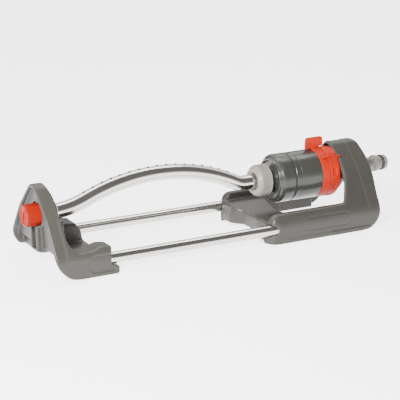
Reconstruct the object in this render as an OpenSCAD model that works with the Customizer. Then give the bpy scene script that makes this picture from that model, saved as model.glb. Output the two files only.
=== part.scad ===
// Oscillating lawn sprinkler: a bent spray tube swings about the X axis, driven by a
// water turbine and reduction gears. X runs along the rails, Z is up, units are mm.

/* [Frame] */
// height of the swing axis above the ground
axis_z = 51.8; // [48:0.1:56]
// distance of each rail from the centre plane
rail_y = 48.7; // [46:0.1:50]
// height of the rail centre lines
rail_z = 14.5; // [13:0.1:16]
// outer diameter of the rails
rail_d = 11; // [10:0.1:11.4]
// wall thickness of the rails
rail_wall = 1.2; // [0.8:0.1:2]
// X of the rail end inside the foot
rail_x0 = -184; // [-188:1:-170]
// X of the rail end inside the base
rail_x1 = 82; // [60:1:90]
// wall thickness of the moulded shells
shell_t = 3; // [2:0.1:4]

/* [Foot] */
// X of the front rim of the foot
foot_x0 = -196.5; // [-200:0.5:-190]
// X of the tip of the foot lobes
foot_x1 = -129.5; // [-140:0.5:-125]
// height of the lobe humps over the rails
lobe_h = 28.4; // [24:0.1:30]

/* [Base] */
// X of the front corners of the base
base_x0 = 30; // [28:0.5:34]
// X of the rear rim of the base arch
base_x1 = 168.5; // [160:0.5:172]
// height of the side arms
arm_h = 30.5; // [27:0.1:33]
// distance of the arm inner face from the centre plane
arm_in = 41.7; // [38:0.1:43]
// X of the front face of the wall that carries the motor
web_x = 136; // [134:0.1:140]

/* [Spray tube] */
// outer diameter of the spray tube
tube_d = 15; // [12:0.1:16]
// wall thickness of the spray tube
tube_wall = 1; // [0.8:0.1:1.5]
// X of the top of the bow
bow_x = -65; // [-90:1:-40]
// height of the bow above the swing axis
bow_h = 23; // [10:0.5:28]
// centre line radius of the bow
bow_r = 194; // [150:1:260]
// centre line radius of the bend at the foot
foot_bend_r = 90; // [40:1:120]
// centre line radius of the bend at the motor
motor_bend_r = 20; // [16:1:60]
// number of spray nozzles
nozzle_count = 17; // [9:1:19]
// pitch of the nozzles along the bow
nozzle_pitch = 9.7; // [8:0.1:9.8]

/* [Motor] */
// outer radius of the motor housings
motor_r = 25; // [24:0.1:26]
// radius of the bearing between the two housings
spigot_r = 21.92; // [21:0.01:21.95]
// radius of the collar nut
nut_r = 16.3; // [15:0.1:18]
// radius of the neck that carries the range rings
neck_r = 22.8; // [22:0.1:23]

/* [Gears] */
// module of the first two gear stages
fine_module = 0.6; // [0.6:0.1:0.6]
// module of the output stage
coarse_module = 0.8; // [0.8:0.1:0.8]
// backlash taken off each tooth
backlash = 0.12; // [0.05:0.01:0.2]

/* [Hose inlet] */
// radius of the nipple tip
tip_r = 7.8; // [7:0.1:8]
// radius of the nipple collar
collar_r = 8.7; // [8:0.1:9]
// X of the nipple tip
tip_x = 205.4; // [203:0.1:207]

/* [Hidden] */
$fn = 64;

grey = [0.42, 0.41, 0.39];
dark = [0.27, 0.28, 0.27];
light = [0.74, 0.72, 0.70];
orange = [0.90, 0.30, 0.12];
alloy = [0.82, 0.82, 0.83];
steel = [0.60, 0.61, 0.63];
black = [0.06, 0.06, 0.06];
ivory = [0.88, 0.86, 0.80];

rail_r = rail_d / 2;
rail_bore = rail_r + 0.05;
tube_r = tube_d / 2;
tube_bore = tube_r - tube_wall;
tube_x0 = -188.6;
tube_x1 = 47.6;
swing_gap = 0.06;

// ---- outlines with rounded corners: each corner is [x, y, radius] ----
function unit(v) = v / norm(v);
function left(v) = [-v[1], v[0]];
function flat(p) = [p[0], p[1]];
function cross2(u, v) = u[0] * v[1] - u[1] * v[0];
function back(p, i) = flat(p[(i + len(p) - 1) % len(p)]);
function next(p, i) = flat(p[(i + 1) % len(p)]);
function heading(p, i) = unit(flat(p[i]) - back(p, i));
function leaving(p, i) = unit(next(p, i) - flat(p[i]));
function turn(v, a) = [v[0] * cos(a) - v[1] * sin(a), v[0] * sin(a) + v[1] * cos(a)];

// corner points of the outline with each corner replaced by an arc
function rounded(p, steps = 8) = [for (i = [0 : len(p) - 1])
    let (u = heading(p, i), v = leaving(p, i), r = p[i][2],
         s = cross2(u, v) > 0 ? 1 : -1, a = acos(max(-1, min(1, u * v))),
         from = flat(p[i]) - u * r * tan(a / 2), mid = from + left(u) * r * s)
    for (k = r > 0 ? [0 : steps] : [0]) r > 0 ? mid + turn(from - mid, s * a * k / steps)
                                              : flat(p[i])];

// the same outline with every side moved inward by t
function inset(p, t) = [for (i = [0 : len(p) - 1])
    let (u = heading(p, i), v = leaving(p, i), k = cross2(u, v),
         a = flat(p[i]) + left(u) * t, b = flat(p[i]) + left(v) * t,
         m = abs(k) < 0.001 ? a : a + u * cross2(b - a, v) / k)
    [m[0], m[1], max(0, p[i][2] - (k > 0 ? t : -t))]];

module along_x(path, x0, x1)
    translate([x0, 0, 0]) rotate([90, 0, 90]) linear_extrude(x1 - x0) polygon(rounded(path));

module along_y(path, y0, y1)
    translate([0, y1, 0]) rotate([90, 0, 0]) linear_extrude(y1 - y0) polygon(rounded(path));

module along_z(path, z0, z1)
    translate([0, 0, z0]) linear_extrude(z1 - z0) polygon(rounded(path));

module block(lo, hi) translate(lo) cube(hi - lo);

module both_sides() {
    children();
    mirror([0, 1, 0]) children();
}

// places children on the swing axis: local z points along +X, local x along +Y
module on_axis(x) translate([x, 0, axis_z]) rotate([90, 0, 90]) children();

// solid of revolution about the swing axis, profile points are [radius, X]
module turned(profile)
    translate([0, 0, axis_z]) rotate([0, 90, 0]) rotate_extrude($fn = 96) polygon(profile);

module disc(x0, x1, r) on_axis(x0) cylinder(h = x1 - x0, r = r);

module bar(x0, x1, y, z, r) translate([x0, y, z]) rotate([0, 90, 0]) cylinder(h = x1 - x0, r = r);

// ---- foot and base shells ----
arch_w = 110.4;
arch_path = [[-54.6, 0, 0], [54.6, 0, 0], [arch_w / 2, 21.6, 25], [33.5, 53.5, 70],
             [0, 84.9, 8], [-33.5, 53.5, 70], [-arch_w / 2, 21.6, 25]];

foot_side = [[foot_x0, 0, 26], [foot_x1, 0, 1], [foot_x1, 5, 2], [foot_x1 - 4, 9, 2],
             [foot_x1 - 4.5, 22, 4], [foot_x1 - 9, lobe_h, 5], [foot_x1 - 20, lobe_h, 6],
             [foot_x1 - 27, 23.5, 8], [foot_x0 + 22, 23.5, 8], [foot_x0 + 14.5, 34, 12],
             [foot_x0 + 14.5, 60, 20], [foot_x0 + 16, 71, 8], [foot_x0 + 10, 84, 2],
             [foot_x0, 84, 0]];
foot_plan = [[foot_x0 - 1, -56, 0], [foot_x1 - 8, -56, 8], [foot_x1, -34, 10],
             [foot_x1, 34, 10], [foot_x1 - 8, 56, 8], [foot_x0 - 1, 56, 0]];
hump_in = 31;
lobe_in = 36;
hump_x = foot_x1 - 22;
foot_web_x = foot_x0 + 6;
boss_x0 = -188;
boss_x1 = -176;
boss_r = 13.8;
bush_r = 9.6;

module foot_form() intersection() {
    along_x(arch_path, foot_x0, foot_x1);
    along_y(foot_side, -60, 60);
    along_z(foot_plan, -1, 90);
}

module end_foot() color(grey) difference() {
    union() {
        difference() {
            foot_form();
            along_x(inset(arch_path, shell_t + 1), foot_x0 - 1, foot_x1 + 1);
            block([foot_x0 - 1, -40, -1], [foot_x1 + 1, 40, 12]);
        }
        // wall behind the rim
        difference() {
            along_x(inset(arch_path, shell_t), foot_web_x, foot_web_x + shell_t);
            block([foot_x0, -60, -1], [foot_web_x + 9, 60, 22]);
        }
        // lobes that hold the rails
        both_sides() intersection() {
            foot_form();
            union() {
                block([foot_x0 + 9, lobe_in, -1], [foot_x1 + 1, 60, 60]);
                block([hump_x, hump_in, -1], [foot_x1 + 1, lobe_in + 1, lobe_h - 3]);
            }
        }
        // low beam between the tips of the lobes
        block([foot_x1 - 9, -hump_in - 1, 1.5], [foot_x1 - 0.5, hump_in + 1, 11]);
        // centre post and bearing boss
        block([foot_x0 + 2, -8, 17], [-168, 8, 44]);
        disc(boss_x0, boss_x1, boss_r);
    }
    disc(boss_x0 - 3, boss_x1 + 1, bush_r);
    disc(boss_x1, -167, bush_r + 1.7);
    // pocket in which the plug turns
    disc(foot_x0 - 1, plug_x1 + 0.4, 12);
    both_sides() {
        bar(rail_x0, foot_x1 + 1, rail_y, rail_z, rail_bore);
        screw_hole(-158);
    }
}

module foot_bearing() color(ivory) difference() {
    union() {
        disc(boss_x0, boss_x1, bush_r);
        disc(boss_x1, boss_x1 + 1.5, bush_r + 1.6);
    }
    disc(boss_x0 - 1, boss_x1 + 2, tube_r + swing_gap);
}

base_plan = [[44, -13, 5], [base_x0, -23, 6], [base_x0, -40, 12], [42, -53, 12],
             [62, -55.4, 30], [base_x1 + 1, -55.4, 0], [base_x1 + 1, 55.4, 0], [62, 55.4, 30],
             [42, 53, 12], [base_x0, 40, 12], [base_x0, 23, 6], [44, 13, 5]];
arm_side = [[base_x0 + 3, 0, 2], [152, 0, 0], [152, arm_h, 0], [50, arm_h, 14],
            [base_x0 + 9, 22.5, 12], [base_x0, 8.5, 5]];
arm_path = [[arm_in, 0, 0], [54.6, 0, 0], [arch_w / 2, 18, 20], [49.6, arm_h, 5],
            [arm_in, arm_h - 1.5, 3.5]];
arch_side = [[112, 0, 0], [base_x1 - 4.5, 0, 18], [base_x1 - 4, 32, 40], [base_x1, 66, 40],
             [base_x1 - 5, 84, 4], [web_x - 2, 84, 2], [web_x - 0.5, 68, 20],
             [web_x - 9.5, 42, 20], [web_x - 14, arm_h, 6], [112, arm_h, 0]];

// the arch over the inlet stands a little taller than the foot
base_arch = [[-54.6, 0, 0], [54.6, 0, 0], [arch_w / 2, 21.6, 25], [34.2, 54, 70],
             [0, 88.3, 12], [-34.2, 54, 70], [-arch_w / 2, 21.6, 25]];
wall_z = 47;
seat_r = 22;

module arch_form() intersection() {
    along_x(base_arch, 110, base_x1 + 1);
    along_y(arch_side, -60, 60);
}

module base_frame() color(grey) difference() {
    union() {
        both_sides() intersection() {
            along_x(arm_path, base_x0 - 1, 143);
            along_z(base_plan, -1, arm_h + 1);
            along_y(arm_side, -60, 60);
        }
        // arch over the inlet, closed by the wall that carries the motor
        difference() {
            arch_form();
            along_x(inset(base_arch, shell_t), 110, web_x);
            along_x(inset(base_arch, shell_t), web_x + 3.5, base_x1 + 2);
            // window below the wall
            intersection() {
                along_x(inset(base_arch, shell_t), 110, base_x1 + 2);
                block([110, -arm_in, -1], [base_x1 + 2, arm_in, wall_z]);
            }
        }
        disc(neck_x1, web_x + 3.5, seat_r);
        // front cross member
        intersection() {
            along_z(base_plan, 3, 22);
            along_y(arm_side, -60, 60);
            block([base_x0 - 1, -arm_in - 1, 0], [62, arm_in + 1, 30]);
        }
    }
    // the space between the arms, and the channels inside them, open downward
    block([110, -arm_in, -1], [base_x1 + 2, arm_in, 22]);
    both_sides() block([90, arm_in + shell_t, -1], [144, 51.2, arm_h - 6]);
    disc(130, web_x + 5, spout_r + 0.05);
    motor_fixings(128, 150, 1.55);
    both_sides() {
        bar(base_x0 - 1, rail_x1 + 1, rail_y, rail_z, rail_bore);
        screw_hole(66);
    }
}

module rail(side) color(alloy) difference() {
    bar(rail_x0 + 0.5, rail_x1, side * rail_y, rail_z, rail_r);
    bar(rail_x0, rail_x1 + 1, side * rail_y, rail_z, rail_r - rail_wall);
    for (x = [-158, 66]) translate([x, side * rail_y, 0]) cylinder(h = rail_z, r = 1.5);
}

module rail_near() rail(-1);

module rail_far() rail(1);

// countersunk hole for a rail screw, from below
module screw_hole(x) translate([x, rail_y, -1]) {
    cylinder(h = rail_z, r = 1.5);
    cylinder(h = 4, r = 3.3);
}

module rail_screws() color(steel) for (side = [-1, 1], x = [-158, 66])
    translate([x, side * rail_y, 1]) difference() {
        union() {
            cylinder(h = 2, r = 3.1);
            cylinder(h = 12, r = 1.5);
        }
        block([-2, -0.4, -1], [2, 0.4, 1]);
        block([-0.4, -2, -1], [0.4, 2, 1]);
    }

// ---- motor ----
rear_x0 = 81.5;
ring_x0 = 112;
ring_x1 = 130.5;
neck_x1 = 131;
spout_r = 9;
lip_x = 85.5;
seat_x = 101.5;
guide_x = 115;
inlet_r = 5;

module motor_rear_housing() color(dark) difference() {
    union() {
        turned([[0, rear_x0], [motor_r - 0.6, rear_x0], [motor_r, rear_x0 + 0.6],
                [motor_r, ring_x0], [neck_r, ring_x0], [neck_r, neck_x1], [0, neck_x1]]);
        disc(neck_x1 - 1, 150, spout_r);
    }
    disc(rear_x0 - 1, lip_x + 1, spigot_r + 0.08);
    disc(lip_x, seat_x, 23);
    disc(seat_x - 1, 126, 20);
    disc(120, 151, inlet_r);
    motor_fixings(122, 140, 1.5);
}

module motor_fixings(x0, x1, r) for (a = [90, 210, 330])
    on_axis(x0) rotate([0, 0, a]) translate([16, 0, 0]) cylinder(h = x1 - x0, r = r);

module motor_screws() color(steel) difference() {
    union() {
        motor_fixings(127, 141, 1.5);
        motor_fixings(web_x + 3.5, web_x + 6, 2.9);
    }
    for (a = [90, 210, 330]) on_axis(web_x + 5) rotate([0, 0, a]) translate([16, 0, 0]) {
        block([-1.9, -0.35, 0], [1.9, 0.35, 2]);
        block([-0.35, -1.9, 0], [0.35, 1.9, 2]);
    }
}

module inlet_guide() color(ivory) difference() {
    disc(guide_x, guide_x + 3, 19.95);
    disc(guide_x - 1, guide_x + 4, shaft_r + 0.05);
    for (a = [0 : 60 : 300]) on_axis(guide_x - 1) rotate([0, 0, a]) translate([10.5, 0, 0])
        cylinder(h = 5, r = 2.2);
    for (a = [30 : 60 : 330]) on_axis(guide_x - 1) rotate([0, 0, a]) translate([5, 0, 0])
        cylinder(h = 5, r = 1.2);
}

shaft_r = 1.5;
axle_r = 1;
stage_d = 18 * fine_module;
axle_a1 = 120;
axle_a2 = 60;

// trapezoid teeth on a disc: half widths at the root, at the pitch line and at the tip
module spur(teeth, m, h, root_k) linear_extrude(h) {
    half = PI * m / 4 - backlash / 2;
    pitch = teeth * m / 2;
    circle(r = pitch - 1.25 * m);
    for (i = [0 : teeth - 1]) rotate(i * 360 / teeth)
        polygon([[pitch - 1.3 * m, -half * root_k], [pitch, -half], [pitch + 0.85 * m, -half * 0.45],
                 [pitch + 0.85 * m, half * 0.45], [pitch, half], [pitch - 1.3 * m, half * root_k]]);
}

module at_axle(a, x) on_axis(x) rotate([0, 0, a]) translate([stage_d, 0, 0])
    rotate([0, 0, -a]) children();

module turbine_wheel() color(ivory) {
    difference() {
        union() {
            disc(92.8, 117.5, shaft_r);
            disc(103, 113.5, 3.6);
            on_axis(93.5) rotate([0, 0, axle_a1]) spur(9, fine_module, 4, 0.8);
            for (a = [0 : 36 : 324]) on_axis(108.5) rotate([0, 0, a])
                translate([8.5, 0, 0]) rotate([32, 0, 0]) cube([11, 1, 7], center = true);
        }
        disc(114.5, 118, 0.4);
    }
    on_axis(105.5) difference() {
        cylinder(h = 6, r = 14.8);
        translate([0, 0, -1]) cylinder(h = 8, r = 13.6);
    }
}

module carrier_plate() color(ivory) difference() {
    disc(seat_x - 3, seat_x, 22.95);
    disc(seat_x - 4, seat_x + 1, shaft_r + 0.05);
    for (a = [axle_a1, axle_a2]) at_axle(a, seat_x - 4) cylinder(h = 5, r = axle_r);
    for (a = [170 : 40 : 370]) on_axis(seat_x - 4) rotate([0, 0, a]) translate([14, 0, 0])
        cylinder(h = 5, r = 3);
}

module gear_axles() color(steel) for (a = [axle_a1, axle_a2])
    at_axle(a, 82.5) cylinder(h = seat_x - 83, r = axle_r);

module gear_first() color(ivory) difference() {
    union() {
        at_axle(axle_a1, 94) rotate([0, 0, axle_a1 + 180 + 180 / 27])
            spur(27, fine_module, 3, 1.15);
        at_axle(axle_a1, 89.6) spur(9, fine_module, 4.6, 0.8);
    }
    at_axle(axle_a1, 88) cylinder(h = 12, r = axle_r + 0.05);
}

module gear_second() color(ivory) difference() {
    union() {
        at_axle(axle_a2, 90) rotate([0, 0, 180 + 180 / 27]) spur(27, fine_module, 3, 1.15);
        at_axle(axle_a2, 83.6) rotate([0, 0, axle_a2]) spur(9, coarse_module, 6.6, 0.8);
    }
    at_axle(axle_a2, 82) cylinder(h = 12, r = axle_r + 0.05);
}

ring_teeth = 36;

module ring_gear() color(ivory) on_axis(84) rotate([0, 0, axle_a2 + 180 / ring_teeth])
    linear_extrude(5) {
        half = PI * coarse_module / 4 - backlash / 2;
        pitch = ring_teeth * coarse_module / 2;
        difference() {
            circle(r = 18);
            circle(r = pitch + 1.25 * coarse_module);
        }
        for (i = [0 : ring_teeth - 1]) rotate(i * 360 / ring_teeth)
            polygon([[pitch + 1.4, -half * 1.2], [pitch + 1.4, half * 1.2], [pitch, half],
                     [pitch - 0.64, half * 0.5], [pitch - 0.64, -half * 0.5], [pitch, -half]]);
    }

nut_x0 = 43;
nut_x1 = 58.5;
spout_x = 49.6;

module motor_front_housing() color(dark) difference() {
    turned([[7, spout_x], [12, spout_x], [12, 64], [17.6, 64], [19.4, 62.4], [20.6, 62.4],
            [21.6, 64], [23.4, 65.2], [24.7, 67.5], [24.7, 80], [spigot_r, 80], [spigot_r, 85.8],
            [20.5, 85.8], [20.5, 87], [spigot_r, 87], [spigot_r, 88.6], [18, 88.6], [18, 84],
            [16.2, 84], [16.2, 68], [7, 63]]);
    for (a = [0 : 120 : 240]) on_axis(86) rotate([0, 0, a + 15])
        block([17, -1.5, 1.5], [24, 1.5, 4]);
}

module motor_seal() color(black) difference() {
    disc(80.05, rear_x0 - 0.05, motor_r - 0.5);
    disc(79, rear_x0 + 1, spigot_r);
}

module retaining_ring() color(steel) difference() {
    disc(85.85, 86.95, 22.7);
    disc(85, 88, 20.5);
    on_axis(85) block([18, -3, 0], [24, 3, 3]);
}

module range_ring(x0, x1, r0, r1) turned([[neck_r + 0.07, x0], [r0, x0], [r1, x1], [neck_r + 0.07, x1]]);

module range_ring_front() color(orange) {
    range_ring(ring_x0 + 0.2, 121.1, 25, 25.6);
    along_y([[104.8, axis_z + 25.4, 0], [121, axis_z + 25.4, 0], [121, axis_z + 27.4, 0],
             [124.4, axis_z + 27.4, 0], [124.4, axis_z + 37.7, 2.5],
             [104.8, axis_z + 37.7, 2.5]], -1.3, 1.3);
    along_y([[112.4, axis_z + 24, 0], [121, axis_z + 24, 0], [121, axis_z + 28, 0],
             [112.4, axis_z + 28, 0]], -2.6, 2.6);
}

module range_ring_rear() color(orange) {
    difference() {
        union() {
            range_ring(121.3, ring_x1, 25.6, 26);
            on_axis(121.3) rotate([0, 0, 90]) linear_extrude(ring_x1 - 121.3)
                polygon(concat([for (a = [6 : 6 : 42]) turn([26.9, 0], a)],
                               [turn([24.5, 0], 42), turn([24.5, 0], 6)]));
        }
        for (a = [190 : 35 : 330]) on_axis(120) rotate([0, 0, a]) block([25.2, -4, 3], [28, 4, 8]);
    }
    translate([0, 0, axis_z]) rotate([40, 0, 0])
        along_y([[113, 26.2, 0], [121.4, 26.2, 0], [121.4, 24.5, 0], [130, 24.5, 0],
                 [133.2, 28.4, 0], [121, 29, 0], [113, 27.6, 0]], -0.9, 0.9);
}

module collar_nut() color(light) difference() {
    turned([[8, nut_x0 + 2], [10.4, nut_x0], [13.2, nut_x0], [nut_r - 0.7, nut_x0 + 3],
            [nut_r, nut_x0 + 5], [nut_r, nut_x1 - 1.5], [nut_r - 1.4, nut_x1 - 0.2],
            [12.03, nut_x1 - 0.2], [12.03, 46], [8, 46]]);
    for (a = [0 : 7.5 : 352.5]) on_axis(nut_x0 + 3.5) rotate([0, 0, a])
        translate([nut_r + 0.25, 0, 0]) rotate([0, 0, 45]) block([-0.5, -0.5, 0], [0.5, 0.5, 10]);
}

module tube_gasket() color(black) difference() {
    disc(tube_x1, spout_x, 11.5);
    disc(tube_x1 - 1, spout_x + 1, tube_bore);
}

// ---- spray tube: foot bend, bow and motor bend are tangent arcs in the XZ plane ----
foot_a = acos(1 - bow_h / (foot_bend_r + bow_r));
motor_a = acos(1 - bow_h / (motor_bend_r + bow_r));
bend_x0 = bow_x - (foot_bend_r + bow_r) * sin(foot_a);
bend_x1 = bow_x + (motor_bend_r + bow_r) * sin(motor_a);

function foot_bend(a) = [bend_x0 + foot_bend_r * sin(a), axis_z + foot_bend_r * (1 - cos(a)), a];
function bow(a) = [bow_x - bow_r * sin(a), axis_z + bow_h - bow_r * (1 - cos(a)), a];
function motor_bend(a) = [bend_x1 + motor_bend_r * sin(a), axis_z + motor_bend_r * (1 - cos(a)), a];

// stations along the tube: [X, Z, slope angle]
stations = concat([[tube_x0, axis_z, 0]], [for (k = [0 : 6]) foot_bend(foot_a * k / 6)],
                  [for (k = [1 : 19]) bow(foot_a - (foot_a + motor_a) * k / 20)],
                  [for (k = [0 : 6]) motor_bend(motor_a * (k / 6 - 1))], [[tube_x1, axis_z, 0]]);
facets = 28;

function ring_at(s, r) = [for (k = [0 : facets - 1]) let (b = 360 * k / facets)
    [s[0] - r * sin(b) * sin(s[2]), r * cos(b), s[1] + r * sin(b) * cos(s[2])]];

// pipe swept through the stations, its outer skin first and its bore after it
module swept_pipe(outer, inner) {
    n = len(stations);
    points = [for (r = [outer, inner], s = stations) each ring_at(s, r)];
    m = n * facets;
    faces = [for (k = [0 : facets - 1]) let (q = (k + 1) % facets)
        each concat([for (i = [0 : n - 2]) [i * facets + q, i * facets + k,
                                            (i + 1) * facets + k, (i + 1) * facets + q]],
                    [for (i = [0 : n - 2]) [m + i * facets + k, m + i * facets + q,
                                            m + (i + 1) * facets + q, m + (i + 1) * facets + k]],
                    [[k, q, m + q, m + k],
                     [(n - 1) * facets + q, (n - 1) * facets + k, m + (n - 1) * facets + k,
                      m + (n - 1) * facets + q]])];
    polyhedron(points, faces);
}

module at_nozzle(i) {
    a = (i - (nozzle_count - 1) / 2) * nozzle_pitch / bow_r * 180 / PI;
    translate([bow_x, 0, axis_z + bow_h - bow_r]) rotate([0, a, 0])
        translate([0, 0, bow_r + tube_r]) children();
}

module spray_tube() color(alloy) difference() {
    union() {
        swept_pipe(tube_r, tube_bore);
        difference() {
            disc(46.1, tube_x1, 11.5);
            disc(46, tube_x1 + 1, tube_r - 0.4);
        }
    }
    for (i = [0 : nozzle_count - 1]) at_nozzle(i) translate([0, 0, -3])
        cylinder(h = 4, r = 1.1, $fn = 24);
}

module spray_nozzles() color(black) for (i = [0 : nozzle_count - 1]) at_nozzle(i) difference() {
    union() {
        translate([0, 0, -1.6]) cylinder(h = 2.1, r = 0.95, $fn = 24);
        translate([0, 0, 0.03]) cylinder(h = 0.57, r = 1.6, $fn = 24);
    }
    translate([0, 0, -2]) cylinder(h = 4, r = 0.45, $fn = 16);
}

// ---- end plug ----
plug_x0 = -205.4;
plug_x1 = -190;

module end_plug() color(orange) difference() {
    union() {
        on_axis(plug_x0 + 2) rotate([0, 0, 22.5]) cylinder(h = plug_x1 - plug_x0 - 2, r = 11, $fn = 8);
        on_axis(plug_x0) rotate([0, 0, 22.5]) cylinder(h = 3, r = 9.8, $fn = 8);
        disc(plug_x1 - 1, -179, tube_bore - 0.1);
    }
    on_axis(plug_x0 - 1) block([-1.4, -8, 0], [1.4, 8, 5]);
    disc(-186, -178, 0.6);
}

module plug_seal() color(black) difference() {
    disc(plug_x1, tube_x0, tube_r + 0.9);
    disc(plug_x1 - 1, tube_x0 + 1, tube_bore);
}

module cleaning_pin() color(steel) disc(-186, -168, 0.6);

// ---- hose inlet ----
module inlet_nipple() color(light) difference() {
    turned([[0, web_x + 3.5], [12.5, web_x + 3.5], [12.5, 150], [11, 152], [7.6, 156],
            [6.9, 160], [6.9, 188], [collar_r - 0.5, 189], [collar_r, 189.6], [collar_r, 193.6],
            [collar_r - 0.5, 194.2], [7.2, 194.6], [7.2, 197.9], [5.9, 197.9], [5.9, 201],
            [tip_r, 201], [tip_r, tip_x - 1], [tip_r - 1, tip_x], [0, tip_x]]);
    disc(web_x + 3, 150.2, spout_r + 0.02);
    disc(150, tip_x + 1, 4.2);
    disc(186, tip_x + 1, 5);
}

module inlet_o_ring() color(black) translate([0, 0, axis_z]) rotate([0, 90, 0])
    rotate_extrude($fn = 96) translate([7.15, 199.45]) circle(r = 1.2, $fn = 32);

module inlet_filter() color(steel) difference() {
    union() {
        disc(186, 202, 4.9);
        disc(200.5, 202, 5);
    }
    disc(187, 203, 4.1);
    for (x = [188 : 2 : 198], a = [0 : 60 : 300]) on_axis(x) rotate([0, 0, a])
        block([3, -1.6, 0], [6, 1.6, 1]);
    for (a = [0 : 60 : 300]) on_axis(185) rotate([0, 0, a]) translate([2.4, 0, 0])
        cylinder(h = 3, r = 0.8, $fn = 24);
}

end_foot();
foot_bearing();
rail_near();
rail_far();
rail_screws();
base_frame();
motor_screws();
motor_rear_housing();
inlet_guide();
turbine_wheel();
carrier_plate();
gear_axles();
gear_first();
gear_second();
ring_gear();
motor_front_housing();
motor_seal();
retaining_ring();
range_ring_front();
range_ring_rear();
collar_nut();
tube_gasket();
spray_tube();
spray_nozzles();
end_plug();
plug_seal();
cleaning_pin();
inlet_nipple();
inlet_o_ring();
inlet_filter();
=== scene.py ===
import math

import bmesh
import bpy
import numpy as np
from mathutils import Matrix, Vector


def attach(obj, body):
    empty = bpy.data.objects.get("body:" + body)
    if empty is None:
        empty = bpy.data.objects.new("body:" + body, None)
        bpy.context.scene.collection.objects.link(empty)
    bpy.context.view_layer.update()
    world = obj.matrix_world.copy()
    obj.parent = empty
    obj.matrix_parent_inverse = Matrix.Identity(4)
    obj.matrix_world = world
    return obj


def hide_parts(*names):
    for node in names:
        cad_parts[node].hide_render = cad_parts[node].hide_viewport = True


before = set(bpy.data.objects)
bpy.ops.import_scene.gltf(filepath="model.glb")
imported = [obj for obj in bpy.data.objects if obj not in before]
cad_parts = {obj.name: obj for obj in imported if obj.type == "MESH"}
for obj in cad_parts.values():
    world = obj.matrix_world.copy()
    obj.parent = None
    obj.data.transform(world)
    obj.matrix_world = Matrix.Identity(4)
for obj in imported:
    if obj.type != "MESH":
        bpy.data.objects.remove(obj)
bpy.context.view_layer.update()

# Shapes are drawn in millimetres: X along the tube, Y across, Z up from the ground.
MM = 0.001
AXIS_Z = 51.8                            # height of the tube's swing axis
RAIL_Y, RAIL_Z, RAIL_R = 48.7, 14.5, 5.5
RAIL_END_R, RAIL_BORE = 5.1, 4.3         # reduced ends inside the sockets, and the bore
TUBE_R, TUBE_BORE = 7.5, 6.5
WALL = 3.2                               # wall of the foot and of the base
RING_BORE = 22.87
HALF_L, HALF_W = 205.39, 55.0            # limits that rounded shapes stay within


# ---------------------------------------------------------------- outlines
def unit(v):
    return v / np.linalg.norm(v)


def left(v):
    return np.array([-v[1], v[0]])


def rounded(corners, steps=8):
    """Outline whose corners [x, y, radius] are replaced by arcs."""
    out = []
    count = len(corners)
    for i, (x, y, r) in enumerate(corners):
        p = np.array([x, y], float)
        a = np.array(corners[i - 1][:2], float)
        b = np.array(corners[(i + 1) % count][:2], float)
        if r <= 0:
            out.append(p)
            continue
        u, v = unit(p - a), unit(b - p)
        side = 1 if u[0] * v[1] - u[1] * v[0] > 0 else -1
        turn = math.acos(max(-1, min(1, u @ v)))
        start = p - u * r * math.tan(turn / 2)
        mid = start + left(u) * r * side
        for k in range(steps + 1):
            t = side * turn * k / steps
            d = start - mid
            out.append(mid + [d[0] * math.cos(t) - d[1] * math.sin(t),
                              d[0] * math.sin(t) + d[1] * math.cos(t)])
    return np.array(out)


def sd_outline(px, py, outline):
    """Signed distance from points to a closed outline, negative inside."""
    px, py = np.broadcast_arrays(px, py)
    best = np.full(px.shape, 1e9)
    inside = np.zeros(px.shape, bool)
    for a, b in zip(outline, np.roll(outline, -1, axis=0)):
        e = b - a
        length = e @ e
        if length < 1e-12:
            continue
        wx, wy = px - a[0], py - a[1]
        t = np.clip((wx * e[0] + wy * e[1]) / length, 0, 1)
        best = np.minimum(best, (wx - e[0] * t) ** 2 + (wy - e[1] * t) ** 2)
        if a[1] != b[1]:
            crosses = ((a[1] > py) != (b[1] > py)) & (px < e[0] * (py - a[1]) / e[1] + a[0])
            inside ^= crosses
    best = np.sqrt(best)
    return np.where(inside, -best, best)


# ---------------------------------------------------------------- distance fields
def join(a, b, k=0.0):
    if k <= 0:
        return np.minimum(a, b)
    h = np.clip(0.5 + 0.5 * (b - a) / k, 0, 1)
    return b * (1 - h) + a * h - k * h * (1 - h)


def meet(a, b, k=0.0):
    return -join(-a, -b, k)


def meet_arc(a, b, r):
    """Intersection whose edge is a true arc of radius r."""
    over = np.sqrt(np.maximum(a + r, 0) ** 2 + np.maximum(b + r, 0) ** 2)
    return np.minimum(np.maximum(a, b), -r) + np.where(np.maximum(a, b) > -r, over, 0.0)


def cut(a, b, k=0.0):
    return meet(a, -b, k)


def slab(v, lo, hi):
    return np.maximum(lo - v, v - hi)


def box_field(X, Y, Z, lo, hi, k=0.0):
    return meet(meet(slab(X, lo[0], hi[0]), slab(Y, lo[1], hi[1]), k), slab(Z, lo[2], hi[2]), k)


class Grid:
    def __init__(self, lo, hi, step):
        self.step = step * 1.0
        self.lo = np.array(lo, float)
        n = np.ceil((np.array(hi) - self.lo) / self.step).astype(int) + 1
        ax = [self.lo[i] + self.step * np.arange(n[i]) for i in range(3)]
        self.X = ax[0][:, None, None]
        self.Y = ax[1][None, :, None]
        self.Z = ax[2][None, None, :]


CORNERS = np.array([[i, j, k] for i in (0, 1) for j in (0, 1) for k in (0, 1)])
EDGES = [(a, b) for a in range(8) for b in range(a + 1, 8)
         if np.abs(CORNERS[a] - CORNERS[b]).sum() == 1]


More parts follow.
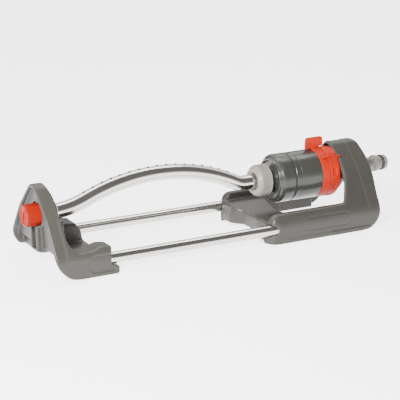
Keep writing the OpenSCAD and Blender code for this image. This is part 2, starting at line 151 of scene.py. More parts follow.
def surface(grid, field):
    """Surface nets: one vertex in each crossed cell, pulled onto the surface."""
    F = np.ascontiguousarray(np.broadcast_to(field, (grid.X.size, grid.Y.size, grid.Z.size)))
    F = F.astype(np.float64)
    neg = F < 0
    n = np.array(F.shape) - 1
    total = np.zeros(n, np.int8)
    for c in CORNERS:
        total += neg[c[0]:c[0] + n[0], c[1]:c[1] + n[1], c[2]:c[2] + n[2]]
    cell = np.argwhere((total > 0) & (total < 8))
    val = np.stack([F[tuple((cell + c).T)] for c in CORNERS], 1)
    acc = np.zeros((len(cell), 3))
    hits = np.zeros(len(cell))
    for a, b in EDGES:
        va, vb = val[:, a], val[:, b]
        m = (va < 0) != (vb < 0)
        t = np.where(m, va / np.where(m, va - vb, 1), 0)
        acc += m[:, None] * (CORNERS[a] + t[:, None] * (CORNERS[b] - CORNERS[a]))
        hits += m
    pts = cell + acc / hits[:, None]

    def sample(p):
        i = np.clip(np.floor(p).astype(int), 0, n - 1)
        f = p - i
        out = 0
        for c in CORNERS:
            w = np.prod(np.where(c, f, 1 - f), axis=1)
            out = out + w * F[tuple((i + c).T)]
        return out

    for _ in range(3):
        g = np.stack([sample(pts + d) - sample(pts - d) for d in np.eye(3) * 0.5], 1)
        size = np.maximum((g * g).sum(1), 1e-6)
        step = -(sample(pts) / size)[:, None] * g
        pts += np.clip(step, -0.35, 0.35)
    pts = np.clip(pts, cell - 0.2, cell + 1.2)

    index = np.full(n, -1, np.int64)
    index[tuple(cell.T)] = np.arange(len(cell))
    quads = []
    for axis in range(3):
        b, c = (axis + 1) % 3, (axis + 2) % 3
        lo = [slice(None)] * 3
        hi = [slice(None)] * 3
        lo[axis], hi[axis] = slice(0, -1), slice(1, None)
        change = neg[tuple(lo)] != neg[tuple(hi)]
        e = np.argwhere(change)
        e = e[(e[:, b] > 0) & (e[:, c] > 0) & (e[:, b] < n[b]) & (e[:, c] < n[c])]
        inside_first = neg[tuple(e.T)]
        ring = []
        for db, dc in ((1, 1), (0, 1), (0, 0), (1, 0)):
            q = e.copy()
            q[:, b] -= db
            q[:, c] -= dc
            ring.append(index[tuple(q.T)])
        ring = np.stack(ring, 1)
        ring[~inside_first] = ring[~inside_first][:, ::-1]
        quads.append(ring)
    return grid.lo + pts * grid.step, np.concatenate(quads)


# ---------------------------------------------------------------- meshes
def shade_smooth(mesh):
    mesh.polygons.foreach_set("use_smooth", [True] * len(mesh.polygons))
    mesh.update()


def make_mesh(name, verts, faces):
    """Object from vertices in millimetres and faces of equal or mixed size."""
    mesh = bpy.data.meshes.new(name)
    mesh.from_pydata([tuple(v) for v in np.asarray(verts) * MM], [],
                     [tuple(int(i) for i in f) for f in faces])
    mesh.validate()
    shade_smooth(mesh)
    ob = bpy.data.objects.new(name, mesh)
    bpy.context.scene.collection.objects.link(ob)
    return ob


def net(name, grid, field):
    verts, faces = surface(grid, field)
    verts[:, 0] = np.clip(verts[:, 0], -HALF_L, HALF_L)
    verts[:, 1] = np.clip(verts[:, 1], -HALF_W, HALF_W)
    verts[:, 2] = np.maximum(verts[:, 2], 0.0)
    return make_mesh(name, verts, faces)


def sharpen(ob, angle=35):
    """Marks creases so that flat faces and arcs shade as machined."""
    mesh = ob.data
    mesh.update()
    normals = np.zeros(len(mesh.polygons) * 3)
    mesh.polygons.foreach_get("normal", normals)
    normals = normals.reshape(-1, 3)
    first = {}
    sharp = set()
    limit = math.cos(math.radians(angle))
    for p in mesh.polygons:
        for key in p.edge_keys:
            if key in first:
                if normals[p.index] @ normals[first[key]] < limit:
                    sharp.add(key)
            else:
                first[key] = p.index
    for e in mesh.edges:
        if e.key in sharp:
            e.use_edge_sharp = True
    return ob


def revolve(name, profile, segments=160, ripple=None, axis=(0, AXIS_Z), steps=5):
    """Closed profile of [radius, x, corner radius] turned about a line along X."""
    flat = rounded([(x, r, c) for r, x, c in profile], steps)
    seg = segments
    ang = np.arange(seg) * 2 * math.pi / seg
    verts, rows = [], len(flat)
    for x, r in flat:
        rr = np.full(seg, r) if ripple is None else ripple(x, np.full(seg, r), ang)
        verts.append(np.stack([np.full(seg, x), axis[0] + rr * np.sin(ang),
                               axis[1] + rr * np.cos(ang)], 1))
    verts = np.concatenate(verts)
    faces = []
    for i in range(rows):
        j = (i + 1) % rows
        if flat[i][1] < 1e-6 and flat[j][1] < 1e-6:
            continue
        for k in range(seg):
            q = (k + 1) % seg
            faces.append((i * seg + k, j * seg + k, j * seg + q, i * seg + q))
    ob = make_mesh(name, verts, faces)
    weld(ob)
    return sharpen(ob)


def weld(ob, dist=1e-6):
    bm = bmesh.new()
    bm.from_mesh(ob.data)
    bmesh.ops.remove_doubles(bm, verts=bm.verts, dist=dist)
    bmesh.ops.dissolve_degenerate(bm, edges=bm.edges, dist=dist)
    bmesh.ops.recalc_face_normals(bm, faces=bm.faces)
    bm.to_mesh(ob.data)
    bm.free()
    shade_smooth(ob.data)


# ---------------------------------------------------------------- materials
def socket(node, *names):
    for n in names:
        if n in node.inputs:
            return node.inputs[n]
    raise KeyError(names)


def material(name, color, rough, metal=0.0, grain=0.0, grain_scale=900.0, streak=None,
             tint=0.06, rough_var=0.08, cloud=40.0, spec=0.5, sss=0.0):
    """Principled material: clouded colour, fine noise in the roughness, grain as bump.

    A streak scales the fine noise along the axes, so that it runs as drawing marks.
    """
    mat = bpy.data.materials.new(name)
    mat.use_nodes = True
    nt = mat.node_tree
    nodes, links = nt.nodes, nt.links
    bsdf = nodes["Principled BSDF"]
    bsdf.inputs["Metallic"].default_value = metal
    socket(bsdf, "Specular IOR Level", "Specular").default_value = spec
    if sss:
        socket(bsdf, "Subsurface Weight", "Subsurface").default_value = sss
        bsdf.inputs["Subsurface Radius"].default_value = (0.004, 0.002, 0.001)
    co = nodes.new("ShaderNodeTexCoord")
    mapping = nodes.new("ShaderNodeMapping")
    links.new(co.outputs["Object"], mapping.inputs["Vector"])
    if streak:
        mapping.inputs["Scale"].default_value = streak

    def noise(scale, detail=3.0, source=None):
        n = nodes.new("ShaderNodeTexNoise")
        n.inputs["Scale"].default_value = scale
        n.inputs["Detail"].default_value = detail
        links.new((source or co).outputs[0 if source else "Object"], n.inputs["Vector"])
        return n.outputs["Fac"]

    def ramp(fac, lo, hi, a, b):
        r = nodes.new("ShaderNodeMapRange")
        r.inputs["From Min"].default_value, r.inputs["From Max"].default_value = lo, hi
        r.inputs["To Min"].default_value, r.inputs["To Max"].default_value = a, b
        links.new(fac, r.inputs["Value"])
        return r.outputs["Result"]

    clouds = noise(cloud, 4.0)
    fine = noise(grain_scale, 2.0, mapping if streak else None)
    # colour: base tone with soft clouds
    mix = nodes.new("ShaderNodeMix")
    mix.data_type = "RGBA"
    mix.inputs[6].default_value = (*[c * (1 - tint) for c in color], 1)
    mix.inputs[7].default_value = (*[min(1, c * (1 + tint)) for c in color], 1)
    links.new(ramp(clouds, 0.3, 0.7, 0, 1), mix.inputs[0])
    links.new(mix.outputs[2], bsdf.inputs["Base Color"])
    links.new(ramp(fine, 0.3, 0.7, max(0.02, rough - rough_var), min(1, rough + rough_var)),
              bsdf.inputs["Roughness"])
    if grain:
        bump = nodes.new("ShaderNodeBump")
        bump.inputs["Strength"].default_value = grain
        bump.inputs["Distance"].default_value = 0.0002
        links.new(fine, bump.inputs["Height"])
        links.new(bump.outputs["Normal"], bsdf.inputs["Normal"])
    return mat


GREY = material("moulded_grey", (0.0255, 0.0235, 0.0203), 0.42, grain=0.25, grain_scale=1600,
                tint=0.05, rough_var=0.06, spec=0.3)
DARK = material("glossy_slate", (0.0225, 0.0225, 0.0198), 0.20, grain=0.04, grain_scale=1200,
                tint=0.05, rough_var=0.04, spec=0.35)
LIGHT = material("warm_light_grey", (0.128, 0.116, 0.103), 0.36, grain=0.2, grain_scale=1500,
                 tint=0.03, rough_var=0.05, spec=0.4)
ORANGE = material("signal_orange", (0.27, 0.0085, 0.0003), 0.45, grain=0.12, grain_scale=1400,
                  tint=0.04, rough_var=0.05, spec=0.12)
# Darker copy of the ring orange: painted shade on the plug, which is the same orange plastic as the
# rings
ORANGE_PAINTED_SHADE = material("orange_painted_shade", (0.165, 0.0050, 0.0003), 0.42, grain=0.12,
                       grain_scale=1400, tint=0.04, rough_var=0.05, spec=0.12)
IVORY = material("natural_acetal", (0.60, 0.57, 0.50), 0.38, grain=0.15, grain_scale=1500,
                 tint=0.03, sss=0.05)
ALLOY = material("drawn_aluminium", (0.50, 0.48, 0.455), 0.14, metal=1.0, grain=0.10,
                 grain_scale=60, streak=(1.5, 90, 90), tint=0.03, rough_var=0.04)
STEEL = material("stainless", (0.55, 0.55, 0.56), 0.28, metal=1.0, grain=0.1, grain_scale=2200,
                 tint=0.03)
RUBBER = material("black_rubber", (0.010, 0.010, 0.010), 0.5, grain=0.2, grain_scale=1500,
                  tint=0.1, spec=0.3)


def paint(ob, mat):
    if ob.data.materials:
        for i in range(len(ob.data.materials)):
            ob.material_slots[i].material = mat
    else:
        ob.data.materials.append(mat)


def piece(ob, body, mat, slot, *nodes):
    paint(ob, mat)
    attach(ob, body)
    if nodes:
        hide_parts(*nodes)
    return ob


# ---------------------------------------------------------------- foot
ARCH = rounded([[-54.6, -20, 0], [54.6, -20, 0], [55.2, 21.6, 25], [33.5, 53.5, 70],
                [0, 87.2, 14], [-33.5, 53.5, 70], [-55.2, 21.6, 25]], 14)


def make_foot():
    x0, x1 = -196.5, -129.5
    g = Grid((x0 - 2, -58, -2), (x1 + 2, 58, 84.5), 0.75)
    X, Y, Z = g.X, g.Y, g.Z
    aY = np.abs(Y)
    arch = sd_outline(Y, Z, ARCH)
    side = sd_outline(X, Z, rounded(
        [[x0, 0, 26], [x1, 0, 0.5], [x1, 12, 3], [x1 - 2.5, 17.5, 6],
         [x1 - 9, 26.4, 6], [x1 - 20, 28.0, 9], [x1 - 29, 24.4, 9], [x0 + 22, 24.2, 9],
         [x0 + 14.5, 34, 14], [x0 + 14.5, 60, 20], [x0 + 15.5, 71, 10], [x0 + 10.5, 84, 4],
         [x0, 84, 1]]))
    plan = sd_outline(X, Y, rounded(
        [[x0 - 9, -60, 0], [x1 - 5, -60, 9], [x1 + 0.5, -42, 10], [x1 + 0.5, 42, 10],
         [x1 - 5, 60, 9], [x0 - 9, 60, 0]]))
    outer = meet(meet_arc(arch, side, 1.6), plan, 3.0)
    outer = meet_arc(outer, -Z, 1.2)
    shell = cut(outer, arch + WALL, 0.8)
    # recessed wall, leaning back toward the ground
    lean = -192.6 + (75 - Z) * 0.05
    wall = meet(meet(np.abs(X - lean - 1.5) - 1.6, arch + 1.5, 0.6), 20 - Z, 2.0)
    body = join(shell, wall, 2.0)
    # lobes round the rail ends, joined by a beam
    lobe = meet(meet(outer, 31 - aY, 5.0), x0 + 12 - X, 2.0)
    body = join(body, lobe, 2.0)
    beam = meet(outer, box_field(X, Y, Z, (x1 - 22.5, -34, 1.5), (x1 + 1, 34, 8.0), 3.0), 2.0)
    body = join(body, beam, 4.0)
    # slanting end face of each lobe, and the lip in front of it that cradles the rail
    slant = (X - x1 + 1.5 + (aY - 31) * 0.42) * 0.92
    lip_top = 10.6 - (X - x1 + 11.5) * 0.4
    body = cut(body, meet(-slant, lip_top - Z, 0.0), 1.5)
    # channel-shaped post and the bearing boss
    post = box_field(X, Y, Z, (x0 + 0.9, -8.4, 16.8), (-168, 8.4, 47), 1.2)
    groove = box_field(X, Y, Z, (x0 - 3, -5.8, 19.2), (-180, 5.8, 43), 1.0)
    body = join(body, meet(cut(post, groove, 0.8), arch, 1.0), 1.6)
    rho = np.sqrt(Y ** 2 + (Z - AXIS_Z) ** 2)
    boss = meet(rho - 13.8, slab(X, -191.8, -176), 1.0)
    body = join(body, boss, 2.0)
    body = cut(body, meet(rho - 12.0, X + 189.6, 0.3), 0.6)
    body = cut(body, meet(rho - 9.7, slab(X, -192, -170), 0.2), 0.6)
    body = cut(body, meet(rho - 11.4, slab(X, -176, -166), 0.2), 0.5)
    # open corner below the far leg
    body = cut(body, box_field(X, Y, Z, (x0 - 9, 9, -9), (-176.5, 60, 7.2), 0.0), 2.5)
    # rail sockets, and the shallow panel on the outer side of each lobe
    rail = np.sqrt((aY - RAIL_Y) ** 2 + (Z - RAIL_Z) ** 2)
    body = cut(body, meet(rail - 5.62, -137.2 - X, 0.0), 0.5)
    panel = sd_outline(X, Z, rounded([[-163.5, 3.8, 7], [-110, 3.8, 0], [-110, 21.0, 0],
                                      [-163.5, 21.0, 7]]))
    panel = np.maximum(panel, X + 137.5)
    body = cut(body, np.maximum(meet(panel, 50 - aY, 0.3), -(outer + 0.45)), 0.4)
    # hollow between the lobes
    body = cut(body, box_field(X, Y, Z, (-182, -31, -5), (x1 - 22.6, 31, 14), 0.5), 1.0)
    return piece(net("foot_shell", g, body), "frame", GREY, "grey_plastic", "end_foot")


# ---------------------------------------------------------------- base
BASE_ARCH = rounded([[-54.6, -20, 0], [54.6, -20, 0], [55.2, 21.6, 25], [34.2, 54, 70],
                     [0, 88.3, 12], [-34.2, 54, 70], [-55.2, 21.6, 25]], 14)


def make_base():
    x0, x1, web = 30.0, 168.5, 136.0
    g = Grid((x0 - 2, -58, -2), (x1 + 2, 58, 86.5), 0.8)
    X, Y, Z = g.X, g.Y, g.Z
    aY = np.abs(Y)
    arch = sd_outline(Y, Z, BASE_ARCH)
    plan = sd_outline(X, Y, rounded(
        [[40.5, -14, 5], [x0, -25, 6], [x0, -43, 8], [36.5, -53, 8], [100, -73, 0],
         [190, -95, 0], [190, 95, 0], [100, 73, 0], [36.5, 53, 8], [x0, 43, 8],
         [x0, 25, 6], [40.5, 14, 5]]))
    front = sd_outline(X, Z, rounded(
        [[x0 + 3, -20, 0], [175, -20, 0], [175, 31, 0], [41, 31, 8], [x0 + 3.5, 21, 8],
         [x0 - 0.5, 8.5, 6]]))
    arm_section = sd_outline(aY, Z, rounded(
        [[41.7, -20, 0], [54.6, -20, 0], [55.2, 18, 20], [49.8, 31, 6], [41.7, 29.8, 4]], 12))
    arch_front = sd_outline(X, Z, rounded(
        [[100, -20, 0], [x1 + 9, -20, 0], [x1 + 9, 100, 0], [web - 6, 100, 0],
         [web - 4.5, 80, 6], [web - 3.0, 68, 20], [web - 13.5, 42, 24], [web - 19, 30.4, 8],
         [100, 30.4, 0]]))
    arch_rear = sd_outline(X, Z, rounded(
        [[90, -1.5, 0], [x1 - 4.5, -1.5, 21], [x1 - 4, 32, 40], [x1 + 0.2, 66, 40],
         [x1 - 4.5, 84.4, 9], [90, 84.4, 0]]))
    leg = meet_arc(meet_arc(arch, arch_rear, 3.0), arch_front, 2.5)
    bevel = 1.5 + 5.0 * np.clip((76 - Z) / 22, 0, 1)
    leg = meet(leg, (arch + arch_front + bevel) * 0.7071, 1.5)
    # hollow behind the web, hollow in front of it, and the opening below the motor
    inner = arch + WALL
    shell = cut(leg, np.maximum(np.maximum(inner, arch_rear - 12), web + WALL - X), 0.8)
    shell = cut(shell, np.maximum(np.maximum(inner, X - web), 100 - X), 0.8)
    shell = cut(shell, np.maximum(np.maximum(inner, Z - 47), 100 - X), 2.0)
    rho = np.sqrt(Y ** 2 + (Z - AXIS_Z) ** 2)
    seat = meet(slab(X, web - 4.8, web + 3.5), rho - 21, 1.0)
    body = join(shell, seat, 2.0)
    arm = meet_arc(arm_section, plan, 2.0)
    arm = meet_arc(arm, front, 3.5)
    arm = meet(meet(arm, X - 142.5, 1.0), arch, 0.6)
    body = join(body, arm, 2.5)
    # cross member with a dish under the motor
    cross = meet_arc(meet_arc(plan, front, 5.0), slab(Z, 2.6, 22), 1.5)
    cross = meet(cross, meet(X - 75, aY - 43, 0.1), 2.0)
    cross = cut(cross, np.sqrt(Y ** 2 + (Z - 78) ** 2) - 61, 3.0)
    body = join(body, cross, 3.0)
    body = meet_arc(body, -Z, 1.0)
    # channels inside the arms, sockets for the rails, seats for the motor
    body = cut(body, box_field(X, aY, Z, (90, 44.6, -5), (150, 51.0, 24), 1.5), 0.8)
    rail = np.sqrt((aY - RAIL_Y) ** 2 + (Z - RAIL_Z) ** 2)
    body = cut(body, meet(rail - 5.75, X - 41.5, 0.0), 0.4)
    body = cut(body, meet(rho - 9.1, slab(X, 125, 145), 0.1), 0.4)
    # flange along the ground, and the outline of the plain label panel
    body = cut(body, np.maximum(np.maximum(-(arch + 0.45), 4.4 - Z), slab(X, 52, 150)), 0.4)
    panel = sd_outline(X, Z, rounded([[72, 10.5, 4.5], [125, 10.5, 4.5], [125, 22.5, 4.5],
                                      [72, 22.5, 4.5]]))
    groove = np.maximum(np.maximum(np.abs(panel) - 0.55, -(arch + 0.95)), 45 - aY)
    body = cut(body, groove, 0.3)
    return piece(net("base_shell", g, body), "frame", GREY, "grey_plastic", "base_frame")


# ---------------------------------------------------------------- motor and rings
def make_motor():
    rear = revolve("rear_housing", [
        [22.02, 81.5, 0.2], [24.3, 81.5, 0.5], [24.75, 82.2, 0.4], [24.75, 87.2, 0.15],
        [24.6, 87.35, 0.1], [24.6, 87.75, 0.1], [24.85, 87.9, 0.15], [25, 111.2, 0.5],
        [24.6, 112, 0.3], [22.8, 112, 0.3], [22.8, 131, 0.2], [9, 131, 0.3], [9, 150, 0.3],
        [5, 150, 0.3], [5, 126, 0.3], [20, 126, 0.5], [20, 101.5, 0.2], [23, 101.5, 0.2],
        [23, 85.5, 0.2], [22.02, 85.5, 0.2]], 192)
    piece(rear, "frame", DARK, "dark_plastic", "motor_rear_housing")
    front = revolve("front_housing", [
        [7, 49.6, 0.3], [12, 49.6, 0.4], [12, 64, 0.3], [17.6, 64, 0.5], [19.3, 62.5, 0.5],
        [20.7, 62.5, 0.5], [21.6, 64.2, 0.5], [23.5, 65.1, 1.0], [24.1, 66.3, 0.3],
        [24.3, 66.4, 0.2], [24.9, 68.2, 1.0], [24.9, 79.4, 0.4], [24.4, 80, 0.3],
        [21.92, 80, 0.2],
        [21.92, 85.8, 0.1], [20.5, 85.8, 0.1], [20.5, 87, 0.1], [21.92, 87, 0.1],
        [21.92, 88.6, 0.2], [18, 88.6, 0.2], [18, 84, 0.2], [16.2, 84, 0.4], [16.2, 68, 1.0],
        [7, 63, 1.0]], 192)
    piece(front, "spray_arm", DARK, "dark_plastic", "motor_front_housing")
    seal = revolve("motor_seal_ring", [[21.95, 80.08, 0.2], [24.2, 80.08, 0.5],
                                       [24.2, 81.42, 0.5], [21.95, 81.42, 0.2]], 160)
    piece(seal, "spray_arm", RUBBER, "black_rubber", "motor_seal")

    ribs, run = 62, (46.4, 57.4)

    def knurl(x, r, ang):
        depth = 0.6 * np.clip((x - run[0]) / 1.5, 0, 1) * np.clip((run[1] - x) / 0.6, 0, 1)
        if r[0] < 15.4:
            depth = 0
        return r - depth * (0.5 - 0.5 * np.cos(ribs * ang)) ** 0.6

    nut = revolve("union_nut", [
        [8, 45.0, 0.3], [9.6, 43.9, 0.3], [10.2, 43.1, 0.2], [12.9, 43.0, 0.8],
        [15.2, 45.4, 1.4], [16.0, 47.0, 0.8], [16.3, 48.6, 0.5], [16.3, 50.0, 0],
        [16.3, 56.4, 0], [16.3, 57.4, 0.3], [15.5, 58.2, 0.4], [12.03, 58.3, 0.2],
        [12.03, 46.05, 0.2], [8, 46.05, 0.3]], ribs * 10, knurl)
    piece(nut, "spray_arm", LIGHT, "light_plastic", "collar_nut")


def ring_field(g, x0, x1, r0, r1):
    """Band from x0 to x1 whose outer radius goes from r0 to r1."""
    rho = np.sqrt(g.Y ** 2 + (g.Z - AXIS_Z) ** 2)
    t = np.clip((g.X - x0) / (x1 - x0), 0, 1)
    return meet(meet(slab(g.X, x0, x1), rho - (r0 + (r1 - r0) * t), 0.5),
                RING_BORE - rho, 0.4), rho


def make_rings():
    g = Grid((103.5, -28, AXIS_Z - 28), (128, 28, AXIS_Z + 39), 0.5)
    X, Y, Z = g.X, g.Y, g.Z
    ring, rho = ring_field(g, 112.2, 121.1, 25.0, 25.6)
    fin = sd_outline(X, Z, rounded([[104.8, AXIS_Z + 25.4, 1.0], [121.0, AXIS_Z + 25.4, 0],
                                    [121.0, AXIS_Z + 27.6, 0], [126.0, AXIS_Z + 27.6, 0.6],
                                    [125.6, AXIS_Z + 37.7, 3.0], [104.8, AXIS_Z + 37.7, 3.0]]))
    fin = meet(fin, np.abs(Y) - 1.3, 0.9)
    ring = join(ring, fin, 0.8)
    pad = meet(box_field(X, Y, Z, (112.4, -5, AXIS_Z + 20), (120.9, 5, AXIS_Z + 27), 0.8),
               rho - 26.8, 0.8)
    ring = join(ring, np.maximum(pad, 23.2 - rho), 0.6)
    piece(net("range_ring_a", g, ring), "front_ring", ORANGE, "orange_plastic",
          "range_ring_front")

    g = Grid((111.5, -33, AXIS_Z - 29), (139.5, 30, AXIS_Z + 31), 0.5)
    X, Y, Z = g.X, g.Y, g.Z
    ring, rho = ring_field(g, 121.35, 130.5, 25.6, 26.0)
    ring = join(ring, meet(meet(slab(X, 126, 132.4), rho - 26.0, 0.8), 23.3 - rho, 0.4))
    ang = np.degrees(np.arctan2(-Y, Z - AXIS_Z))          # from the top toward the near side
    arc = rho * np.radians(np.abs(ang - 24)) - 25 * math.radians(17)
    sector = meet(meet(arc, rho - 27.2, 0.8), slab(X, 121.6, 132.2), 0.8)
    ring = join(ring, np.maximum(sector, 23.4 - rho), 0.8)
    a = math.radians(44)
    v = -Y * math.sin(a) + (Z - AXIS_Z) * math.cos(a)       # along the fin
    w = Y * math.cos(a) + (Z - AXIS_Z) * math.sin(a)        # across it
    ridge = sd_outline(X, v, rounded([[112.8, 26.2, 0.2], [121.4, 26.2, 0], [121.4, 24.0, 0],
                                      [131.5, 24.0, 0], [133.3, 26.6, 0.5], [137.3, 27.3, 0.3],
                                      [121, 30.4, 2], [112.8, 30.2, 1]]))
    ridge = meet(ridge, np.abs(w) - 1.0, 0.7)
    ring = join(ring, ridge, 0.8)
    for mid in range(78, 330, 36):                           # grip pockets
        span = (ang - mid + 180) % 360 - 180
        pocket = meet(rho * np.radians(np.abs(span)) - 3.6, slab(X, 124.2, 128.2), 0.8)
        ring = cut(ring, np.maximum(pocket, 24.9 - rho), 0.5)
    piece(net("range_ring_b", g, ring), "rear_ring", ORANGE, "orange_plastic",
          "range_ring_rear")


# ---------------------------------------------------------------- tube
# The tube's line: a bow of radius BOW_R that rises BOW_H at BOW_X, with a reverse bend of
# radius FOOT_R toward the foot and one of radius MOTOR_R toward the motor.
BOW_X, BOW_H, BOW_R, FOOT_R, MOTOR_R = -65.0, 23.0, 194.0, 90.0, 20.0
FOOT_A = math.acos(1 - BOW_H / (FOOT_R + BOW_R))
MOTOR_A = math.acos(1 - BOW_H / (MOTOR_R + BOW_R))
BEND_X0 = BOW_X - (FOOT_R + BOW_R) * math.sin(FOOT_A)
BEND_X1 = BOW_X + (MOTOR_R + BOW_R) * math.sin(MOTOR_A)
NOZZLES, PITCH = 17, 9.7


def tube_path():
    """Points [x, z, slope angle] along the tube's centre line."""
    path = [(-188.6, AXIS_Z, 0.0), (-183, AXIS_Z, 0.0)]
    for t in np.linspace(0, FOOT_A, 22):
        path.append((BEND_X0 + FOOT_R * math.sin(t), AXIS_Z + FOOT_R * (1 - math.cos(t)), t))
    for t in np.linspace(FOOT_A, -MOTOR_A, 90)[1:-1]:
        path.append((BOW_X - BOW_R * math.sin(t), AXIS_Z + BOW_H - BOW_R * (1 - math.cos(t)), t))
    for t in np.linspace(-MOTOR_A, 0, 16):
        path.append((BEND_X1 + MOTOR_R * math.sin(t), AXIS_Z + MOTOR_R * (1 - math.cos(t)), t))
    return path + [(40.0, AXIS_Z, 0.0)]


def make_tube():
    seg = 72
    ang = np.arange(seg) * 2 * math.pi / seg
    path = tube_path()

    def ring(x, z, t, r):
        return np.stack([x - r * np.sin(ang) * math.sin(t), r * np.cos(ang),
                         z + r * np.sin(ang) * math.cos(t)], 1)

    outer = [ring(x, z, t, TUBE_R) for x, z, t in path]
    for x, r in ((45.6, TUBE_R), (46.1, TUBE_R + 0.6), (46.1, 11.0), (46.4, 11.5),
                 (47.2, 11.5), (47.6, 11.0)):
        outer.append(ring(x, AXIS_Z, 0, r))
    inner = [ring(47.6, AXIS_Z, 0, TUBE_BORE)]
    inner += [ring(x, z, t, TUBE_BORE) for x, z, t in path[::-1]]
    rings = outer + inner
    verts = np.concatenate(rings)
    faces = []
    for i in range(len(rings)):
        j = (i + 1) % len(rings)
        for k in range(seg):
            q = (k + 1) % seg
            faces.append((i * seg + k, i * seg + q, j * seg + q, j * seg + k))
    ob = make_mesh("swing_tube", verts, faces)
    weld(ob)
    sharpen(ob)
    piece(ob, "spray_arm", ALLOY, "aluminium", "spray_tube")

    # nozzles: a small flanged insert with an open throat in each hole
    profile = rounded([(0.45, 0.62, 0.12), (0.9, 0.62, 0.2), (1.55, 0.1, 0.15), (1.6, -0.15, 0),
                       (1.05, -0.15, 0), (1.05, -1.5, 0), (0.45, -1.5, 0)], 3)
    n = 20
    a = np.arange(n) * 2 * math.pi / n
    verts, faces = [], []
    for i in range(NOZZLES):
        t = -(i - (NOZZLES - 1) / 2) * PITCH / BOW_R
        base = len(verts)
        for r, h in profile:
            for p in a:
                u, w = r * math.cos(p), r * math.sin(p)
                d = BOW_R + TUBE_R + h
                verts.append((BOW_X - d * math.sin(t) + u * math.cos(t), w,
                              AXIS_Z + BOW_H - BOW_R + d * math.cos(t) + u * math.sin(t)))
        rows = len(profile)
        for r0 in range(rows):
            r1 = (r0 + 1) % rows
            for k in range(n):
                q = (k + 1) % n
                faces.append((base + r0 * n + k, base + r0 * n + q, base + r1 * n + q,
                              base + r1 * n + k))
    ob = make_mesh("nozzle_row", verts, faces)
    weld(ob)
    sharpen(ob)
    piece(ob, "spray_arm", RUBBER, "black_rubber", "spray_nozzles")


def make_rails():
    for name, side in (("rail_near", -1), ("rail_far", 1)):
        ob = revolve(name + "_tube", [
            [RAIL_BORE, -183.5, 0.3], [RAIL_END_R, -183.5, 0.4], [RAIL_END_R, -141, 0.5],
            [RAIL_R, -140, 0.5], [RAIL_R, 60, 0.5], [RAIL_END_R, 61, 0.5],
            [RAIL_END_R, 82, 0.4], [RAIL_BORE, 82, 0.3]], 96, axis=(side * RAIL_Y, RAIL_Z))
        piece(ob, "frame", ALLOY, "aluminium", name)


# ---------------------------------------------------------------- plug and inlet
def make_plug():
    g = Grid((-207, -13, AXIS_Z - 13), (-177.5, 13, AXIS_Z + 13), 0.4)
    X, Y, Z = g.X, g.Y, g.Z - AXIS_Z
    rho = np.sqrt(Y ** 2 + Z ** 2)
    octagon = rho - 10.9
    for k in range(4):
        a = math.radians(45 * k)
        octagon = meet(octagon, np.abs(Y * math.cos(a) + Z * math.sin(a)) - 10.15, 0.5)
    head = meet_arc(octagon, slab(X, -205.4, -190.1), 1.1)
    # dished end face with a raised lip round the screwdriver slot
    head = cut(head, meet(rho - 8.4, X + 204.4, 0.8), 0.8)
    lip = np.sqrt(np.abs(Y / 3.4) ** 2.0 + np.abs(Z / 8.4) ** 2.0) - 1.0
    lip = meet(lip * 3.2, slab(X, -205.2, -202), 0.8)
    head = join(head, lip, 1.0)
    slot = np.sqrt(np.abs(Y / 1.9) ** 2.0 + np.abs((Z + 1.6) / 5.8) ** 2.0) - 1.0
    head = cut(head, meet(slot * 1.8, X + 198.5, 0.3), 0.2)
    spigot = meet(rho - 6.42, slab(X, -192, -179.2), 0.6)
    plug = join(head, spigot, 0.4)
    plug = cut(plug, meet(rho - 0.7, slab(X, -187, -170), 0.1), 0.1)
    # the plug gets the darker copy of the orange as painted shade, not a different plastic
    piece(net("flush_plug", g, plug), "plug_head", ORANGE_PAINTED_SHADE, "orange_plastic", "end_plug")


def make_inlet():
    nipple = revolve("hose_nipple", [
        [9.05, 139.5, 0.2], [12.5, 139.5, 0.6], [12.5, 149.4, 0.8], [11, 152, 1.0],
        [7.8, 156.4, 1.5], [6.9, 160, 1.5], [6.9, 188.2, 0.8], [8.2, 189.0, 0.5],
        [8.7, 189.9, 0.5], [8.7, 193.2, 0.5], [8.1, 194.4, 0.4], [7.25, 194.7, 0.2],
        [7.25, 197.9, 0.2], [5.95, 197.9, 0.1], [5.95, 201, 0.1], [7.8, 201, 0.3],
        [7.8, 204.2, 0.8], [6.9, 205.4, 0.6], [5.05, 205.4, 0.3], [5.05, 186, 0.2],
        [4.2, 186, 0.2], [4.2, 150.2, 0.2], [9.05, 150.2, 0.2]], 128)
    piece(nipple, "frame", LIGHT, "light_plastic", "inlet_nipple")
    ring = revolve("inlet_seal", [[5.97, 198.2, 1.1], [8.35, 198.2, 1.1], [8.35, 200.7, 1.1],
                                  [5.97, 200.7, 1.1]], 128, steps=8)
    piece(ring, "frame", RUBBER, "black_rubber", "inlet_o_ring")


make_foot()
make_base()
make_motor()
make_rings()
make_tube()
make_rails()
make_plug()
make_inlet()

# CAD nodes that keep their own shape
KEPT = {
    "foot_bearing": IVORY, "rail_screws": STEEL, "motor_screws": STEEL, "inlet_guide": IVORY,
    "turbine_wheel": IVORY, "carrier_plate": IVORY, "gear_axles": STEEL, "gear_first": IVORY,
    "gear_second": IVORY, "ring_gear": IVORY, "retaining_ring": STEEL, "tube_gasket": RUBBER,
    "plug_seal": RUBBER, "cleaning_pin": STEEL, "inlet_filter": STEEL,
}
for node, mat in KEPT.items():
    paint(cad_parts[node], mat)


# ---------------------------------------------------------------- stage, lights, camera
FLOOR_GLOW = 3.4
CAM_AZIMUTH, CAM_ELEVATION, CAM_DISTANCE = math.radians(-28.74), math.radians(16.43), 1.461
CAM_LENS, CAM_AIM = 132.46, (-0.0175, 0, 0.0408)


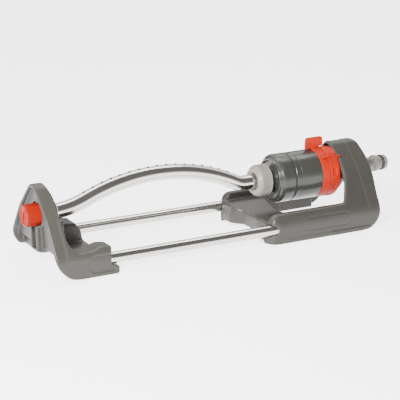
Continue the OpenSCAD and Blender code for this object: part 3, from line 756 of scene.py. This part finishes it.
def make_floor():
    n, half, drop = 24, 4.0, 0.05            # points a side, metres, millimetres below the feet
    xs = np.linspace(-half, half, n)
    verts = [(x / MM, y / MM, -drop) for x in xs for y in xs]
    faces = [(i * n + j, (i + 1) * n + j, (i + 1) * n + j + 1, i * n + j + 1)
             for i in range(n - 1) for j in range(n - 1)]
    ob = make_mesh("floor", verts, faces)
    mat = material("pale_floor", (0.40, 0.40, 0.40), 0.7, tint=0.004, rough_var=0.02, cloud=3.0,
                   spec=0.2)
    bsdf = mat.node_tree.nodes["Principled BSDF"]
    bsdf.inputs["Emission Color"].default_value = (1, 1, 1, 1)
    bsdf.inputs["Emission Strength"].default_value = FLOOR_GLOW
    ob.data.materials.append(mat)


def make_world():
    """Sky seen in strong reflections: low light in front, a dark band above it, a bright
    bank behind the top, and a dark far horizon."""
    world = bpy.data.worlds.new("studio")
    bpy.context.scene.world = world
    world.use_nodes = True
    nodes, links = world.node_tree.nodes, world.node_tree.links
    co = nodes.new("ShaderNodeTexCoord")
    split = nodes.new("ShaderNodeSeparateXYZ")
    links.new(co.outputs["Generated"], split.inputs[0])

    def math_node(kind, a, b):
        n = nodes.new("ShaderNodeMath")
        n.operation = kind
        for i, v in enumerate((a, b)):
            if isinstance(v, (int, float)):
                n.inputs[i].default_value = v
            else:
                links.new(v, n.inputs[i])
        return n.outputs[0]

    def ramp(value, lo, hi, a, b):
        r = nodes.new("ShaderNodeMapRange")
        r.interpolation_type = "SMOOTHSTEP"
        for key, v in (("From Min", lo), ("From Max", hi), ("To Min", a), ("To Max", b)):
            r.inputs[key].default_value = v
        links.new(value, r.inputs["Value"])
        return r.outputs["Result"]

    turn = math_node("ARCTAN2", split.outputs["Z"], math_node("MULTIPLY", split.outputs["Y"], -1.0))
    low = ramp(turn, 0.02, 0.32, 1.1, 0.0)
    bank = math_node("MULTIPLY", ramp(turn, 1.45, 1.8, 0.0, 2.3), ramp(turn, 2.6, 2.85, 1.0, 0.0))
    below = ramp(split.outputs["Z"], -0.02, 0.0, FLOOR_GLOW, 0.27)
    total = math_node("ADD", below, math_node("ADD", low, bank))
    bg = nodes["Background"]
    bg.inputs["Color"].default_value = (1, 1, 1, 1)
    links.new(total, bg.inputs["Strength"])


def area(name, loc, aim, size, power):
    light = bpy.data.lights.new(name, "AREA")
    light.shape = "RECTANGLE"
    light.size, light.size_y = size
    light.energy = power
    ob = bpy.data.objects.new(name, light)
    ob.location = loc
    ob.rotation_mode = "QUATERNION"
    ob.rotation_quaternion = (Vector(aim) - Vector(loc)).to_track_quat("-Z", "Y")
    bpy.context.scene.collection.objects.link(ob)


def make_stage():
    make_floor()
    make_world()
    area("key", (-0.75, -0.62, 0.52), (-0.10, 0, 0.04), (0.4, 0.4), 56)
    area("top", (0.1, 0.4, 1.4), (0, 0, 0.03), (1.6, 0.5), 16)
    back = Vector((math.sin(CAM_AZIMUTH) * math.cos(CAM_ELEVATION),
                   -math.cos(CAM_AZIMUTH) * math.cos(CAM_ELEVATION), math.sin(CAM_ELEVATION)))
    cam = bpy.data.objects.new("camera", bpy.data.cameras.new("camera"))
    cam.data.lens, cam.data.sensor_width = CAM_LENS, 36
    cam.data.clip_start, cam.data.clip_end = 0.05, 50
    cam.location = Vector(CAM_AIM) + back * CAM_DISTANCE
    cam.rotation_mode = "QUATERNION"
    cam.rotation_quaternion = (-back).to_track_quat("-Z", "Y")
    bpy.context.scene.collection.objects.link(cam)
    bpy.context.scene.camera = cam


make_stage()
